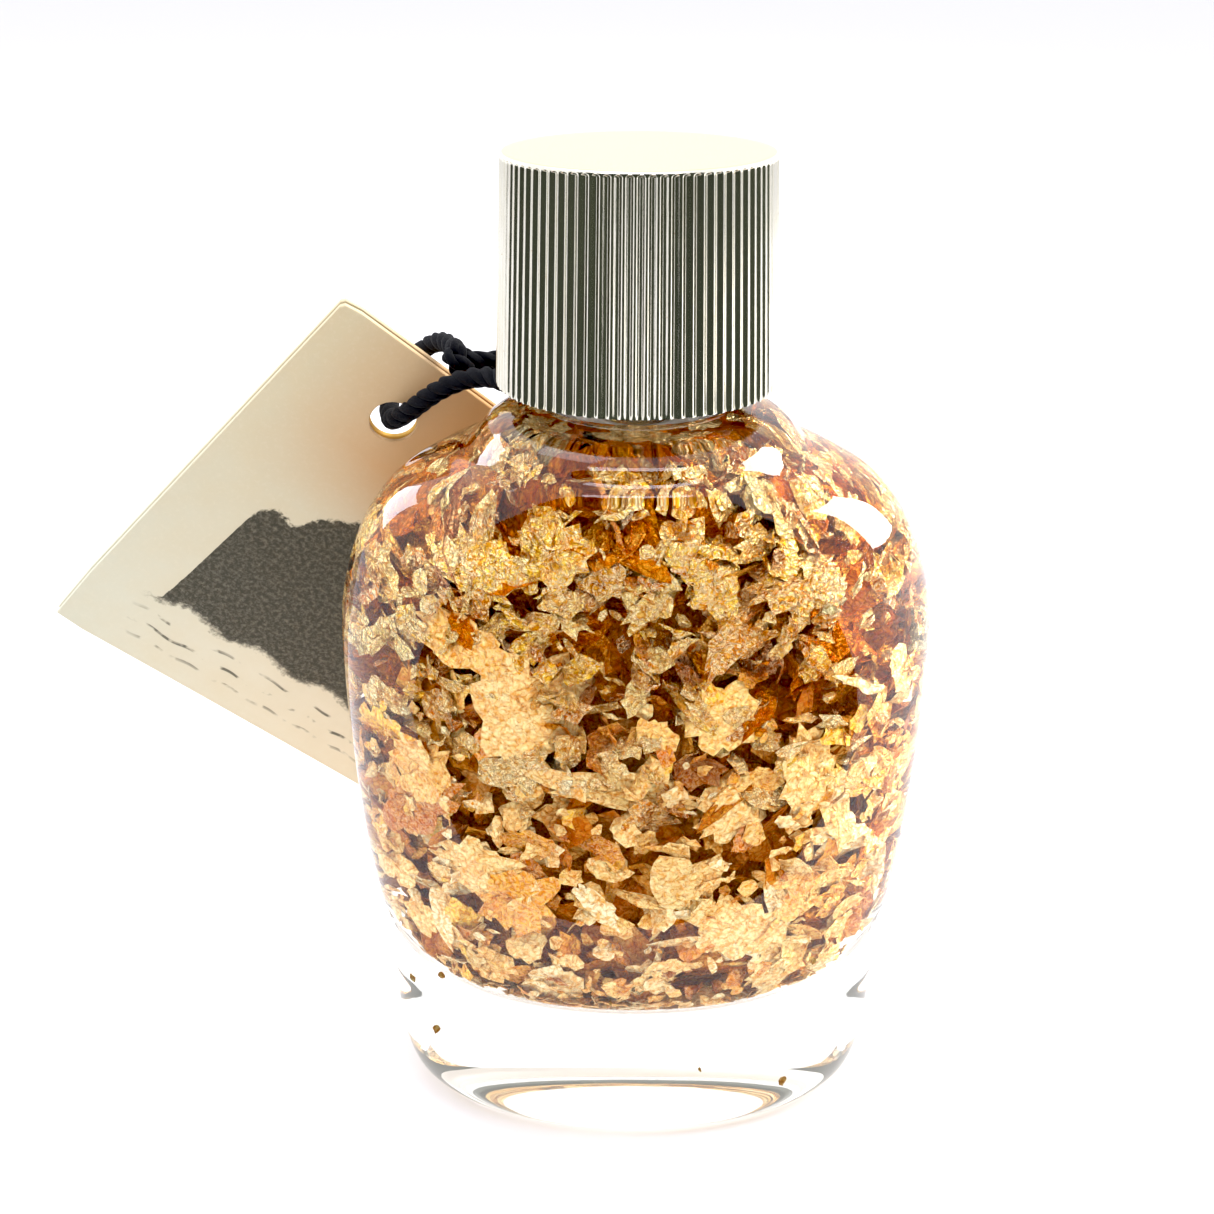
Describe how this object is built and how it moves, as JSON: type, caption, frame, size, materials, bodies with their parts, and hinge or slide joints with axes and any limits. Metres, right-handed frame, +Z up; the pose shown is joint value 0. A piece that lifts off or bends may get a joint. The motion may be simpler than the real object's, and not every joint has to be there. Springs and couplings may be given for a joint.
{
  "type": "gold sample vial",
  "caption": "Small oval glass vial with a ribbed metallised screw cap, filled with gold leaf flakes in clear liquid, with a folded card tag on a cord round its neck.",
  "frame": {"origin": "on the surface the vial stands on, under the middle of its oval base", "axes": "+Z up along the neck, -Y towards the front of the bottle, +X to its right, along the widest side of the oval"},
  "size_m": [0.0567, 0.0307, 0.0605],
  "materials": {
    "clear_glass": "clear polished flint glass",
    "clear_liquid": "clear oily liquid, smooth",
    "gold_leaf": "bright crumpled gold leaf",
    "champagne_metal": "bright pale gold metallised ribs",
    "insert_plastic": "plain moulded",
    "wad_foam": "fine closed-cell foam",
    "card": "uncoated cream card with a dark printed picture",
    "black_cotton": "soft twisted cotton cord"
  },
  "bodies": {
    "bottle": {"glass_bottle": "clear_glass", "fill_liquid": "clear_liquid", "gold_flake_01": "gold_leaf", "gold_flake_02": "gold_leaf", "gold_flake_03": "gold_leaf", "gold_flake_04": "gold_leaf", "gold_flake_05": "gold_leaf", "gold_flake_06": "gold_leaf", "gold_flake_07": "gold_leaf", "gold_flake_08": "gold_leaf", "gold_flake_09": "gold_leaf", "gold_flake_10": "gold_leaf", "gold_flake_11": "gold_leaf", "gold_flake_12": "gold_leaf", "gold_flake_13": "gold_leaf", "gold_flake_14": "gold_leaf", "gold_flake_15": "gold_leaf", "gold_flake_16": "gold_leaf", "gold_flake_17": "gold_leaf", "gold_flake_18": "gold_leaf", "gold_flake_19": "gold_leaf", "gold_flake_20": "gold_leaf", "gold_flake_21": "gold_leaf", "gold_flake_22": "gold_leaf", "gold_flake_23": "gold_leaf", "gold_flake_24": "gold_leaf", "gold_flake_25": "gold_leaf", "gold_flake_26": "gold_leaf", "gold_flake_27": "gold_leaf", "gold_flake_28": "gold_leaf", "gold_flake_29": "gold_leaf", "gold_flake_30": "gold_leaf"},
    "wad": {"cap_wad": "wad_foam"},
    "cap": {"cap_shell": "champagne_metal", "cap_insert": "insert_plastic"},
    "cord": {"tag_cord": "black_cotton", "cord_knot": "black_cotton"},
    "tag": {"tag_front_leaf": "card"},
    "tag_cover": {"tag_back_leaf": "card"}
  },
  "joints": [
    {"name": "cap_lift", "type": "slide", "parent": "bottle", "child": "wad", "axis": [0, 0, 1], "range_m": [0, 0.01058]},
    {"name": "cap_turn", "type": "hinge", "parent": "wad", "child": "cap", "pos_m": [0, 0, 0.0478], "axis": [0, 0, 1], "range_deg": [0, 1800]},
    {"name": "cord_swivel", "type": "hinge", "parent": "bottle", "child": "cord", "pos_m": [0, 0, 0.0482], "axis": [0, 0, 1], "range_deg": [-20, 5]},
    {"name": "tag_swing", "type": "hinge", "parent": "cord", "child": "tag", "pos_m": [-0.01514, 0.00913, 0.04243], "axis": [0.0655, -0.9562, -0.2853], "range_deg": [-25, 10]},
    {"name": "tag_fold", "type": "hinge", "parent": "tag", "child": "tag_cover", "pos_m": [-0.02824, 0.00956, 0.03964], "axis": [0.6874, -0.164, 0.7075], "range_deg": [0, 8]}
  ],
  "couplings": [
    {"joint": "cap_lift", "follows": "cap_turn", "m_per_rad": 0.00033688}
  ]
}
